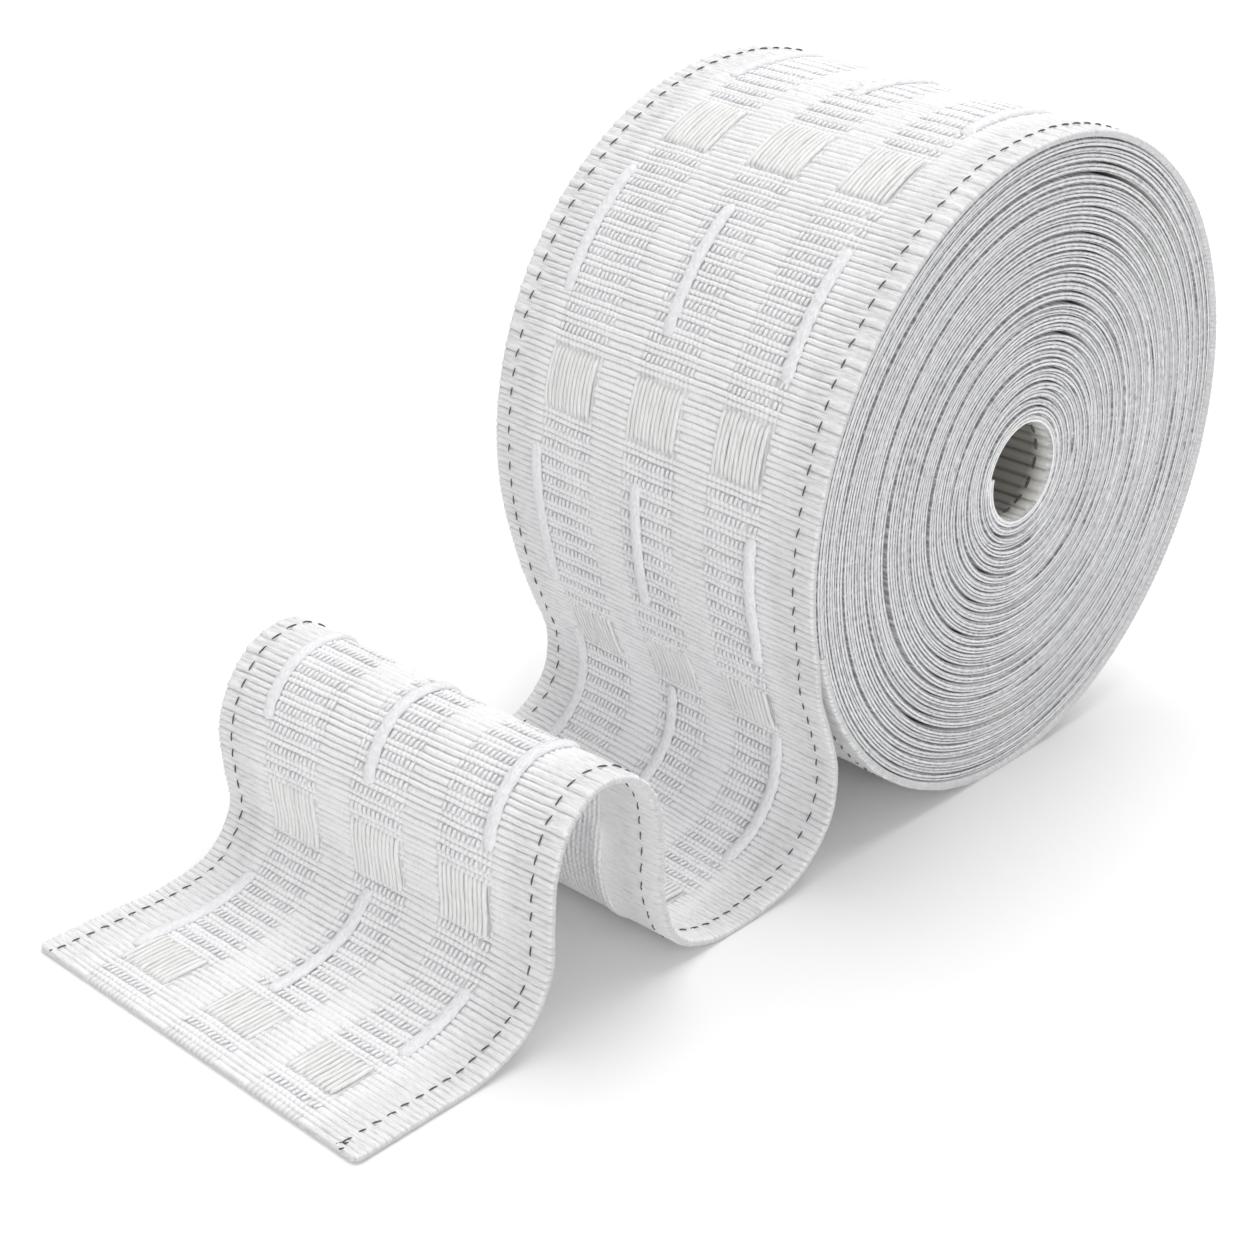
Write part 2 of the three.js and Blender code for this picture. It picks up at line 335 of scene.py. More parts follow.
def relief(across, woven):
    """How far the face stands above or below its middle surface, where `woven` counts the ribs."""
    ribs = rib_count(woven)
    number = np.floor(ribs + 1e-6)
    wide = number % RIBS == 0
    # slack yarn fills some valleys in part, and no two ribs are equally high
    filled = 0.3 * chance(number + 0.3) * (0.6 + 0.4 * np.sin(0.23 * across + TURN * chance(number)))
    tops = filled + (1 - filled) * ridge(ribs)
    uneven = 0.84 + 0.26 * chance(number) + 0.08 * np.sin(0.16 * across + TURN * chance(number + 0.5))
    plain = RIB_HEIGHT * tops * uneven * np.where(wide, 0.86, 1.0)
    looped = np.where(wide, LOOPED_FLOOR, 0.85 * RIB_HEIGHT * tops)
    column = column_share(across)
    height = plain * (1 - column) + looped * column
    edge = np.minimum(across, WIDTH - across)
    nubs = chunky(woven) * (1 - step_up(edge, 4.4, 3.4))
    height = height * (1 - nubs) + (NUB_HEIGHT * nub(woven) - 0.02) * nubs
    for middle, block, *_ in ROWS:
        end = middle + block / 2
        for bar in bar_ribs(end):
            near = inside(ribs, bar, bar + 1, 0.01) * inside(across, 7.0, WIDTH - 7.0, 3.0)
            height = height * (1 - near) + BAR_HEIGHT * tops * near
        for low, high in BLOCKS.values():
            under = inside(across, low + 0.2, high - 0.2) * inside(woven, middle - block / 2 + 0.9, end - 0.9, 0.6)
            height = height * (1 - under) - 0.02 * under
    # a fine groove runs beside each column, and the whole cloth swells a little
    for low, high in COLUMNS.values():
        for groove in (low - 0.1, high - 1.9, high + 0.1):
            height = height - 0.08 * np.exp(-(((across - groove) / 0.2) ** 2))
    swell = 0.04 * np.sin(0.21 * woven + 0.35 * across) + 0.03 * np.sin(0.9 * across + 0.13 * woven)
    return height - SINK + swell


def back_relief(across, woven):
    """The back has the same ribs, lower, and the cords press through it."""
    height = 0.2 * ridge(rib_count(woven)) - 0.12
    for middle, block, *spans in ROWS:
        for at, (start, stop) in zip(CORDS.values(), spans):
            height = height + 0.34 * inside(across, at - 1.1, at + 1.1, 1.0) * inside(woven, start, stop, 2.0)
    return height


def weave_rows(start, stop):
    """Lengths of the rows of vertices: four to a rib, so that every valley has its own row."""
    ribs = np.arange(math.floor(rib_count(start)), math.ceil(rib_count(stop)) + 1)
    rows = length_of((ribs[:, None] + np.array(RIB_ROWS)).ravel())
    rows = rows[(rows > start + 0.05) & (rows < stop - 0.05)]
    return np.concatenate([[start], rows, [stop]])

# %% [markdown]
# ## A strip of tape
# A woven strip has a face, a back and two rounded edges. It could be a plane with a Solidify
# modifier, but then both sides would carry the same relief. Here a grid stands for the skin: along it
# runs the tape's length, and across it runs once round the section, so that its two long sides meet
# and are merged. Each vertex also keeps its flat place as an attribute, which the materials read, and
# its zone: how far it belongs to a column of loops, to a selvedge and to the back.

# %% The skin of a strip
def merge_and_close(mesh):
    bm = bmesh.new()
    bm.from_mesh(mesh)
    bmesh.ops.remove_doubles(bm, verts=bm.verts[:], dist=1e-6)
    bmesh.ops.holes_fill(bm, edges=[e for e in bm.edges if e.is_boundary], sides=0)
    bmesh.ops.recalc_face_normals(bm, faces=bm.faces[:])
    open_edges = sum(e.is_boundary for e in bm.edges)
    bm.to_mesh(mesh)
    bm.free()
    return open_edges


def keep(mesh, name, vectors):
    kept = mesh.attributes.new(name, "FLOAT_VECTOR", "POINT")
    kept.data.foreach_set("vector", vectors.astype(np.float32).ravel())


def finish_piece(name, mesh, flat, zone, places):
    """Keeps the flat places and zones as attributes, moves the mesh to its places and shades it smooth."""
    keep(mesh, "flat", flat)
    keep(mesh, "zone", zone)
    mesh.vertices.foreach_set("co", places.astype(np.float32).ravel())
    open_edges = merge_and_close(mesh)
    mesh.shade_smooth()
    piece = bpy.data.objects.new(name, mesh)
    bpy.context.scene.collection.objects.link(piece)
    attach(piece, "root")
    print(f"{name}: {len(mesh.polygons)} faces, {open_edges} open edges")
    return piece


def grid_mesh(name, across_steps, length_steps):
    """A flat grid, and the column and row of each of its vertices."""
    bm = bmesh.new()
    bmesh.ops.create_grid(bm, x_segments=across_steps, y_segments=length_steps, size=0.5)
    mesh = bpy.data.meshes.new(name)
    bm.to_mesh(mesh)
    bm.free()
    co = np.empty(len(mesh.vertices) * 3)
    mesh.vertices.foreach_get("co", co)
    co = co.reshape(-1, 3)
    column = np.rint((co[:, 0] + 0.5) * across_steps).astype(int)
    row = np.rint((co[:, 1] + 0.5) * length_steps).astype(int)
    return mesh, column, row


EDGE = [(0.10, -0.22), (0.28, -0.6), (0.10, -0.98)]         # a selvedge's round: outwards, and down
# Columns of vertices stand close together where the relief changes, and further apart elsewhere.
FACE_ACROSS = sorted(set(np.round(np.concatenate([
    [0.15, 0.5, 1.0, 1.7, 2.4, 3.1],
    *[(low - 0.25, low - 0.1, low + 0.15, high - 2.1, high - 1.9, high - 1.7, high - 0.15, high + 0.1, high + 0.3)
      for low, high in COLUMNS.values()],
    np.arange(4.0, 71.5, 1.1),
    [72.0, 72.7, 73.4, 74.0, 74.5, 74.85],
]), 2)))
BACK_ACROSS = sorted([*np.linspace(0.4, 74.6, 12), 60.5, 61.1, 62.0, 62.9, 63.5], reverse=True)


def section():
    """Once round the strip: the face, the right edge, the back, the left edge and home again."""
    face = [(x, 0.0, "face") for x in FACE_ACROSS]
    right = [(WIDTH + out, down, "edge") for out, down in EDGE]
    back = [(x, -THICKNESS, "back") for x in BACK_ACROSS]
    left = [(-out, down, "edge") for out, down in reversed(EDGE)]
    ring = face + right + back + left
    return ring + ring[:1]


def detailed_strip(name, start, stop):
    """Flat places for a strip with its full relief. The rows of vertices follow the wandering ribs."""
    ring = section()
    across, down, kind = (np.array(column) for column in zip(*ring))
    rows = weave_rows(start, stop)
    mesh, column, row = grid_mesh(name, len(ring) - 1, len(rows) - 1)
    woven = rows[row]
    x, lift, part = across[column].astype(float), down[column].astype(float), kind[column]
    selvedge = 1 - inside(x, SELVEDGE, WIDTH - SELVEDGE, 3.0)
    zone = np.stack([column_share(x), selvedge, part == "back"], axis=1).astype(float)
    outward = np.where(x > WIDTH / 2, 1, -1)
    near_edge = np.clip(1 - np.minimum(x, WIDTH - x) / 1.5, 0, 1)
    bulge = 0.16 * chunky(woven) * (nub(woven) - 0.7) + 0.06 * (ridge(rib_count(woven)) - 0.7)
    x = x + outward * near_edge * bulge
    face, back = relief(x, woven), back_relief(x, woven)
    lift = np.where(part == "face", face, np.where(part == "back", lift - back, lift + face * 0.4 + 0.05))
    return mesh, np.stack([x, woven - wander(x, woven), lift], axis=1), zone

# %% [markdown]
# ## The loose end and the outer turn
# These are one sheet on the real tape. They are three strips here, because the loose end is a sheet of
# its own in the solids, and because a piece stays easy to handle below 200,000 triangles. The cut end
# is squeezed to a thin round lip, and its two corners are rounded by drawing the strip in.

# %% The loose end
CUT_LIP = 0.8                          # the cut end is rounded over this length
CORNER = 1.5                           # radius of its two corners, seen from above
mesh, flat, zone = detailed_strip("loose_cloth", 0, LOOSE)
lip = np.sqrt(np.clip(1 - (1 - flat[:, 1] / CUT_LIP) ** 2, 0.03, 1))
lip = np.where(flat[:, 1] < CUT_LIP, lip, 1)
flat[:, 2] = -THICKNESS / 2 + (flat[:, 2] + THICKNESS / 2) * lip
short = np.clip(CORNER - flat[:, 1], 0, CORNER)
inset = CORNER - np.sqrt(CORNER**2 - short**2)
flat[:, 0] = WIDTH / 2 + (flat[:, 0] - WIDTH / 2) * (1 - inset / (WIDTH / 2))
loose_cloth = finish_piece("loose_cloth", mesh, flat, zone, put_in_place(flat))
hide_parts("loose_end")

# %% The outer turn
HALF_TURN = (LOOSE + OUTER_END) / 2
wound_pieces = []
for name, start, stop in (
    ("outer_turn_front", LOOSE, HALF_TURN),
    ("outer_turn_rear", HALF_TURN, OUTER_END),
):
    mesh, flat, zone = detailed_strip(name, start, stop)
    wound_pieces.append(finish_piece(name, mesh, flat, zone, put_in_place(flat)))

# %% [markdown]
# ## The inner turns
# Of the inner turns only the two edges show, so the strip is plain across and has a nearly flat edge
# with round corners. One long strip is true to the real roll and also gives the dark slits between
# the turns for free.

# %% The inner turns
WOUND_STEP = 1.1                       # of the grid, along the tape
INNER_FINE = 1.35                      # turns at the core that get ribs, because the hole shows them
INNERMOST_ROOM = 1.4                   # thickness that the last turn may have, as nothing presses on it
ROUND = [(0.0, -0.03), (0.15, -0.12), (0.2, -0.5), (0.15, -0.88), (0.0, -0.97)]   # outwards, share down
SET_BACK = 0.25                        # of the inner turns' edges, so that the outer turn's lies furthest out


def turned_steps(first, last, step):
    """Turned angles that are even along the tape, from the first turn to the last."""
    turned = [first * TURN]
    while turned[-1] < last * TURN:
        radius, _ = roll_radius(WIDTH / 2, np.array(turned[-1]))
        turned.append(turned[-1] + step / float(radius))
    turned[-1] = last * TURN
    return np.array(turned)


def wound_place(across, turned, lift):
    """Places in metres of tape on the roll."""
    y, z = wound(np.clip(across, 0, WIDTH), turned, lift)
    return np.stack([across - MIDDLE[0], y - MIDDLE[1], np.maximum(z, 0.0)], axis=1) * MM


def proud(turned, side):
    """Some turns stand a little proud of the side of the roll and some lie back."""
    turns = turned / TURN
    sway = 0.12 * np.sin(2.3 * turns + side) + 0.07 * np.sin(5.1 * turns + 0.9 * np.sin(turned) + 2 * side)
    return sway + 0.05 * np.sin(turned + 3.7 * turns + side) - 0.25 * np.clip(turns - 1, 0, 1)


def wound_strip(name, first, last, step, back_steps):
    """A strip from one turn to another, and the angle that each of its vertices is wound."""
    turned = turned_steps(first, last, step)
    inner = np.linspace(1.5, WIDTH - 1.5, back_steps)
    ring = [(0.0, 0.0, -1), (WIDTH, 0.0, 1)]
    ring += [(WIDTH + out, share, 1) for out, share in ROUND]
    ring += [(x, -1.0, 0) for x in inner[::-1]]
    ring += [(-out, share, -1) for out, share in reversed(ROUND)]
    ring += ring[:1]
    mesh, column, row = grid_mesh(name, len(ring) - 1, len(turned) - 1)
    angle = turned[row]
    turns = angle / TURN
    here, _ = roll_radius(WIDTH / 2, angle)
    further, _ = roll_radius(WIDTH / 2, np.minimum(angle + TURN, TURNS * TURN))
    room = np.where(angle + TURN < TURNS * TURN, here - further, INNERMOST_ROOM)
    # slack opens dark slits: above the core in some turns, below it in the others
    polar = LEAVING_ANGLE - angle
    some = np.clip(np.sin(2.39 * turns) + 0.4 * np.sin(0.9 * angle + turns), 0, 1)
    slack_gap = 0.10 * some * np.clip(np.sin(polar + 0.1), 0, 1)
    slack_gap += 0.08 * (1 - some) * np.clip(np.sin(polar - 3.6), 0, 1) ** 2
    slack_gap += 0.22 * inside(turns, TURNS - 2.45, TURNS - 1.95, 0.3)
    thick = np.clip(room * (0.91 - slack_gap - 0.04 * chance(row)), 0.7, 1.4)
    x, depth, side = (np.array(values)[column] for values in zip(*ring))
    x = x + side * (proud(angle, 0.8 * side) - SET_BACK)
    flat = np.stack([x, row * step, depth * thick], axis=1)
    nothing = np.zeros(len(depth))
    zone = np.stack([nothing, nothing, depth < -0.98], axis=1).astype(float)
    return mesh, flat, zone, angle


mesh, flat, zone, angle = wound_strip("inner_turns", 1.0, TURNS - INNER_FINE, WOUND_STEP, 2)
wound_pieces.append(finish_piece("inner_turns", mesh, flat, zone, wound_place(flat[:, 0], angle, flat[:, 2])))

# %% [markdown]
# ## The innermost turn
# The core hole shows the back of the last turn, with ribs that its tight bend draws together. A finer
# grid and one wave in its thickness make them. Its zone says something else than on the other strips:
# how far a vertex stands on a rib, whether it is in the very last turn, and whether it is on the back.
# The material reads the first to paint shade into the valleys between the ribs.

# %% The innermost turn
HOLE_RIB = 1.9                         # pitch of the ribs that show inside the hole
HOLE_RIB_HEIGHT = 0.3
HOLE_RADIUS = CORE_FACE - THICKNESS
mesh, flat, zone, angle = wound_strip("innermost_turn", TURNS - INNER_FINE, TURNS, 0.3, 24)
hole_ribs = ridge((TURNS * TURN - angle) * HOLE_RADIUS / HOLE_RIB, 0.5)
flat[:, 2] -= zone[:, 2] * HOLE_RIB_HEIGHT * (hole_ribs - 0.7)
zone[:, 0] = hole_ribs
zone[:, 1] = angle / TURN > TURNS - 1.04
wound_pieces.append(finish_piece("innermost_turn", mesh, flat, zone, wound_place(flat[:, 0], angle, flat[:, 2])))

# %% [markdown]
# ## Small parts that repeat
# Loops, pocket yarns, cords and marker stitches are each modelled once and copied along the flat
# tape. The copies are turned, stretched and shifted a little by seeded random numbers, because even
# rows look like print and not like yarn.

# %% A helper that copies a small part along the tape
rng = np.random.default_rng(7)


def unit_mesh(name, build):
    """One small part, made by bmesh operators, and the places of its vertices."""
    bm = bmesh.new()
    build(bm)
    bmesh.ops.recalc_face_normals(bm, faces=bm.faces[:])
    mesh = bpy.data.meshes.new(name)
    bm.to_mesh(mesh)
    bm.free()
    return mesh, np.array([v.co[:] for v in mesh.vertices])


def copies(name, unit, shapes, place=put_in_place):
    """shapes holds one array of flat places for each copy, in the order of the unit's vertices."""
    bm = bmesh.new()
    for _ in shapes:
        bm.from_mesh(unit)
    mesh = bpy.data.meshes.new(name)
    bm.to_mesh(mesh)
    bm.free()
    flat = np.concatenate(shapes)
    keep(mesh, "flat", flat)
    mesh.vertices.foreach_set("co", place(flat).astype(np.float32).ravel())
    mesh.shade_smooth()
    piece = bpy.data.objects.new(name, mesh)
    bpy.context.scene.collection.objects.link(piece)
    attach(piece, "root")
    print(f"{name}: {len(shapes)} copies, {len(mesh.polygons)} faces")
    return piece


def yarn(segments, cuts):
    """A round strand of length 2 along Y, ready to be bent."""
    def build(bm):
        bmesh.ops.create_cone(
            bm, cap_ends=True, cap_tris=False, segments=segments, radius1=1, radius2=1, depth=2
        )
        long_edges = [e for e in bm.edges if abs(e.verts[0].co.z - e.verts[1].co.z) > 1]
        bmesh.ops.subdivide_edges(bm, edges=long_edges, cuts=cuts, use_grid_fill=False)
        for v in bm.verts:
            v.co = (v.co.x, v.co.z, v.co.y)
    return build


def split(shapes):
    """Those on the loose end, and those on the roll."""
    on_roll = [shape[:, 1].mean() > LOOSE for shape in shapes]
    return [s for s, r in zip(shapes, on_roll) if not r], [s for s, r in zip(shapes, on_roll) if r]

# %% [markdown]
# ## The loops
# In the three columns a row of small loops stands on each wide rib. Each is a short capsule of only 17
# faces, because there are thousands of them. None stands where a cord lies over the face.

# %% The rows of loops in the columns
LOOP_PITCH = 0.98
CORD_RADIUS = 1.15
loop_unit, loop_points = unit_mesh("loop_unit", yarn(5, 2))


def under_cord(x, s):
    return any(
        abs(x - at) < CORD_RADIUS + 0.25 and start < s < stop
        for _, _, *spans in ROWS for at, (start, stop) in zip(CORDS.values(), spans)
    )


def loop_shape(x, s, wide, long, high, lean):
    """A loop of yarn that stands up between the ribs: a short capsule, thinner and lower at its ends."""
    p = loop_points
    end = np.abs(p[:, 1]) > 0.9
    along = p[:, 1] * np.where(end, 1.0, 2.0) * long
    round_end = np.where(end, 0.6, 1.0)
    return np.stack([
        x + p[:, 0] * wide * round_end + lean * along, s + along, p[:, 2] * high * round_end - 0.16 * end
    ], axis=1)


shapes = []
for group in range(int((OUTER_END - COVERED) / GROUP)):
    at = (group + RIB_STARTS[1] / 2) * GROUP
    clear = all(abs(at - middle) > block / 2 + 0.6 for middle, block, *_ in ROWS)
    if not clear or at < 1.5:          # under a block, or on the lip of the cut end
        continue
    for low, high in COLUMNS.values():
        spots = [*np.arange(low + 0.6, high - 2.2, LOOP_PITCH), high - 1.4, high - 0.5]
        for x in spots:
            if under_cord(x, at):
                continue
            x = x + rng.normal(0, 0.04)
            s = at - wander(x, at) + rng.normal(0, 0.05)
            shapes.append(loop_shape(
                x, s, rng.uniform(0.36, 0.45), rng.uniform(0.62, 0.76), rng.uniform(0.26, 0.36), rng.normal(0.2, 0.1)
            ))
loose_shapes, wound_shapes = split(shapes)
loops_on_loose = copies("loose_loops", loop_unit, loose_shapes)
loops_on_roll = copies("wound_loops", loop_unit, wound_shapes)

# %% [markdown]
# ## The pocket blocks
# A pocket for a curtain hook is a row of yarns that float over about three groups of ribs. One raised
# pad with a striped texture would do from afar, but here each yarn is a strand of its own, so that
# it casts its own shadow. The yarns of a block bow the same way, and their ends dip into the cloth.

# %% The pocket blocks
YARN_PITCH = 0.92
YARN_LIFT = -0.04
strand_unit, strand_points = unit_mesh("strand_unit", yarn(6, 9))


def strand_shape(x, start, stop, wide, high, bow, sway, phase):
    """One floating yarn. It bows to one side, sways a little and dips in at both ends."""
    p = strand_points
    s = (start + stop) / 2 + p[:, 1] * (stop - start) / 2
    dip = 1 - np.clip((np.abs(p[:, 1]) - 0.8) / 0.2, 0, 1) ** 2
    round_end = np.where(np.abs(p[:, 1]) > 0.99, 0.7, 1)
    across = x + p[:, 0] * wide * round_end + bow * (1 - p[:, 1] ** 2) + sway * np.sin(3 * p[:, 1] + phase) * dip
    lift = YARN_LIFT - 0.1 * (1 - dip) + p[:, 2] * high * round_end
    return np.stack([across, s, lift], axis=1)


shapes = []
for middle, block, *_ in ROWS:
    for low, high in BLOCKS.values():
        bow = rng.normal(-0.1, 0.25)
        for x in np.arange(low + 0.45, high - 0.3, YARN_PITCH):
            start, stop = (middle + side * block / 2 + rng.normal(0, 0.14) for side in (-1, 1))
            shapes.append(strand_shape(
                x + rng.normal(0, 0.03), start, stop, rng.uniform(0.41, 0.46), rng.uniform(0.40, 0.48),
                bow, rng.normal(0, 0.05), rng.uniform(0, TURN)
            ))
loose_shapes, wound_shapes = split(shapes)
yarns_on_loose = copies("loose_pocket_yarns", strand_unit, loose_shapes)
yarns_on_roll = copies("wound_pocket_yarns", strand_unit, wound_shapes)

# %% [markdown]
# ## The draw cords
# A draw cord runs inside the weave and comes out between two rows of blocks. A curve with a round
# bevel could make it. A bent strand is used here too, because its rings can lie closer together where
# its blunt ends round off.

# %% The draw cords
CORD_TOP = 1.0                         # how far a cord stands above the tape's middle surface
CORD_DEPTH = 0.35                      # and how far it sinks in
cord_unit, cord_points = unit_mesh("cord_unit", yarn(12, 55))


def cord_shape(x, start, stop, phase):
    """A soft round cord. Its rings lie closer together at the two blunt ends."""
    p = cord_points
    half = (stop - start) / 2
    along = np.sin(1.3 * p[:, 1]) / math.sin(1.3)
    s = (start + stop) / 2 + along * half
    from_end = (1 - np.abs(along)) * half
    blunt = np.sqrt(np.clip(1 - (1 - np.minimum(from_end / CORD_RADIUS, 1)) ** 2, 0.02, 1))
    sink = 0.3 * (1 - step_up(from_end, 1.8, 3.0))
    knobble = 1 + 0.06 * np.sin(2.1 * s + phase) + 0.05 * np.sin(3.9 * s + 2 * phase)
    across = x + p[:, 0] * CORD_RADIUS * blunt * knobble + 0.12 * np.sin(0.25 * s + phase)
    middle_lift = (CORD_TOP - CORD_DEPTH) / 2 - sink
    lift = middle_lift + (CORD_TOP + CORD_DEPTH) / 2 * p[:, 2] * knobble * blunt
    return np.stack([across, s, lift], axis=1)


shapes = [
    cord_shape(x, start, stop, rng.uniform(0, TURN))
    for middle, block, *spans in ROWS
    for x, (start, stop) in zip(CORDS.values(), spans)
    if stop < OUTER_END - COVERED
]
loose_shapes, wound_shapes = split(shapes)
cords_on_loose = copies("loose_draw_cords", cord_unit, loose_shapes)
cords_on_roll = copies("wound_draw_cords", cord_unit, wound_shapes)

# %% [markdown]
# ## The marker thread
# A fine dark thread runs beside each selvedge as a guide for sewing, over one group of ribs and under
# the next. Only its short stitches show, on the face and between them on the back, so only those are
# made. The last few, at the cut end, lie loose.

# %% The marker thread
STITCH = 1.8
MARKER_RADIUS = 0.12
BACK_LIFT = -1.24                      # of the stitches on the tape's back
stitch_unit, stitch_points = unit_mesh("stitch_unit", yarn(6, 4))


def stitch_shape(x, s, length, lean, lift, side=1, thick=1.0):
    """One stitch that arches over the ribs and dips in at both ends. Side -1 is the tape's back."""
    p = stitch_points
    thin = thick * (1 - 0.45 * np.abs(p[:, 1]) ** 3)
    arch = 1 - 0.3 * p[:, 1] ** 4
    across = x + lean * p[:, 1] + p[:, 0] * MARKER_RADIUS * thin
    up = lift + side * 0.2 * (arch - 1) + p[:, 2] * 0.16 * thin
    return np.stack([across, s + p[:, 1] * length / 2, up], axis=1)


def marker_spots(stop):
    """The stitches lie closer together near the cut end, where the cloth has drawn in."""
    at = 2.0
    while at < stop:
        yield at
        at += 2.6 if at < 38 else 3.1 if at < 150 else GROUP


shapes = []
for x in MARKERS:
    for at in marker_spots(OUTER_END - 2):
        length = STITCH * rng.uniform(0.85, 1.05) * (0.8 if at < 38 else 1)
        aside, lean = rng.normal(0, 0.06), rng.normal(0.12, 0.06)
        shapes.append(stitch_shape(x + aside, at, length, lean, 0.22 + 0.14 * chunky(at)))
    for at in marker_spots(LOOSE - 2):
        aside, lean = rng.normal(0, 0.06), rng.normal(-0.1, 0.05)
        shapes.append(stitch_shape(x + aside, at + 1.6, STITCH, lean, BACK_LIFT, -1))
for x, s in ((71.0, 0.9), (71.7, 1.6), (72.1, 0.35), (3.1, 0.6)):
    shapes.append(stitch_shape(x, s, 0.9, 0.25, 0.1))
loose_shapes, wound_shapes = split(shapes)
marker_on_loose = copies("loose_marker_thread", stitch_unit, loose_shapes)
marker_on_roll = copies("wound_marker_thread", stitch_unit, wound_shapes)

# %% The marker thread inside the hole
# In the hole the tape's back faces the eye. The thread is coarser here, so that it shows at all.
HOLE_STITCHES = 17                     # a little more than once round
shapes = []
for step in range(HOLE_STITCHES):
    turned = TURNS * TURN - (1.6 + step * GROUP) / HOLE_RADIUS
    shapes.append(stitch_shape(MARKERS[1], turned * HOLE_RADIUS, 2.0, rng.normal(0, 0.05), -1.45, -1, 1.9))
marker_in_hole = copies(
    "hole_marker_thread", stitch_unit, shapes,
    lambda flat: wound_place(flat[:, 0], flat[:, 1] / HOLE_RADIUS, flat[:, 2])
)
for unit in (loop_unit, strand_unit, cord_unit, stitch_unit):
    bpy.data.meshes.remove(unit)

# %% [markdown]
# ## Materials
# The whole tape is bright white polyester, so the materials differ only a little: the ground is matt
# and slightly hairy, the pocket yarns are softer and a touch warmer, and the cords are smooth.
# Polyester has an IOR of about 1.54. Woven, it looks far rougher than the plastic itself, because
# thousands of fibres face all ways, and the finest of them catch the light as a weak sheen.

# %% Colours and a node helper
def colour(code):
    """An sRGB hex code as the linear colour that Blender works in."""
    parts = [int(code[k:k + 2], 16) / 255 for k in (1, 3, 5)]
    return (*[p / 12.92 if p <= 0.04045 else ((p + 0.055) / 1.055) ** 2.4 for p in parts], 1)


def add_node(tree, kind, *values, gives=0, **named):
    """Adds a node and returns one of its outputs. The values, or other nodes' outputs, go to its inputs
    in order. A name with a capital is an input too, and any other name is a setting of the node."""
    made = tree.nodes.new("ShaderNode" + kind)
    for key, value in named.items():
        if key[0].islower():
            setattr(made, key, value)
    inputs = {socket.identifier: socket for socket in made.inputs}
    chosen = [(inputs[key], value) for key, value in named.items() if key[0].isupper()]
    for socket, value in [*zip(made.inputs, values), *chosen]:
        if isinstance(value, bpy.types.NodeSocket):
            tree.links.new(value, socket)
        else:
            socket.default_value = value
    return made.outputs[gives]


def new_material(name, finish):
    """A new material has a shader node already. The finish gives the values of its own sockets."""
    material = bpy.data.materials.new(name)
    material.use_nodes = True
    bsdf = material.node_tree.nodes["Principled BSDF"]
    for socket, value in finish.items():
        bsdf.inputs[socket].default_value = value
    return material, material.node_tree, bsdf

# %% [markdown]
# ## How yarn is drawn
# Every yarn here is a bundle of fine hairs. A noise that is stretched one way looks like such a
# bundle, and it drives both a small bump and the shade: the gaps between hairs are darker, partly
# as the yarn's grain and partly as painted shade.
# The patterns count millimetres of flat tape, so they follow every bend. A fibre is about 0.02 mm
# thick, which no picture of a whole roll can show, so the bundles are drawn some ten times coarser.

# %% Fine patterns in millimetres of tape
def kept_places(tree, name):
    """An attribute that the mesh keeps, as one vector and as its three parts."""
    whole = add_node(tree, "Attribute", attribute_name=name, gives=1)
    return whole, add_node(tree, "SeparateXYZ", whole).node.outputs


def hairs(tree, place, per_mm, detail=2.0):
    """Noise with so many features to a millimetre across, along and in depth."""
    scaled = add_node(tree, "Mapping", Vector=place, Scale=per_mm)
    return add_node(tree, "TexNoise", Vector=scaled, Scale=1.0, Detail=detail, Roughness=0.6)


def yarn_painted_shade(tree, lift, deep, high, share, hair, hair_span, hair_share):
    """Painted shade: yarn is darker where it lies deep, by this share of the tone, and darker between its hairs,
    which is partly its grain.
    """
    depth = add_node(tree, "MapRange", lift, deep, high)
    grain_and_gap_shade = add_node(tree, "MapRange", hair, *hair_span, 0.0, hair_share)
    return add_node(tree, "Math", depth, share, grain_and_gap_shade, operation="MULTIPLY_ADD")


def shade_and_bump(tree, bsdf, tone, height, light, dark, depth_mm):
    """Colour from dark at tone 0 to light at 1, and a bump whose full height is depth_mm."""
    shade = add_node(
        tree, "Mix", data_type="RGBA", gives=2, Factor_Float=tone, A_Color=colour(dark), B_Color=colour(light)
    )
    bump = add_node(tree, "Bump", Height=height, Strength=1.0, Distance=depth_mm * MM)
    tree.links.new(shade, bsdf.inputs["Base Color"])
    tree.links.new(bump, bsdf.inputs["Normal"])
    return shade

# %% The woven ground
WOVEN = {"Roughness": 0.85, "IOR": 1.54, "Specular IOR Level": 0.25, "Sheen Weight": 0.2, "Sheen Roughness": 0.5}
WARP = (2.6, 0.9, 0.0)                 # features to a millimetre: warp ends pass over a rib 0.4 mm apart
WEFT = (0.45, 4.5, 0.0)                # near the selvedge the weft's own hairs show

woven, tree, bsdf = new_material("woven_white_polyester", WOVEN)
place, (x, s, lift) = kept_places(tree, "flat")
_, (column, selvedge, back) = kept_places(tree, "zone")
warp, weft = hairs(tree, place, WARP, 3.0), hairs(tree, place, WEFT, 3.0)
some_warp = add_node(tree, "Math", warp, 0.55, operation="MULTIPLY")
streaks = add_node(tree, "Math", weft, 0.45, some_warp, operation="MULTIPLY_ADD")
ground = add_node(tree, "Mix", Factor_Float=selvedge, A_Float=streaks, B_Float=weft)
# in a column the ribs are beaded, one bead to a loop
leaning = add_node(tree, "Math", s, 0.6, operation="MULTIPLY")
turned = add_node(tree, "Math", x, TURN / LOOP_PITCH, leaning, operation="MULTIPLY_ADD")
wave = add_node(tree, "Math", turned, operation="SINE")
between_beads = add_node(tree, "Math", warp, 0.6, 0.24, operation="MULTIPLY_ADD")
beads = add_node(tree, "Math", wave, 0.16, between_beads, operation="MULTIPLY_ADD")
height = add_node(tree, "Mix", Factor_Float=column, A_Float=ground, B_Float=beads)
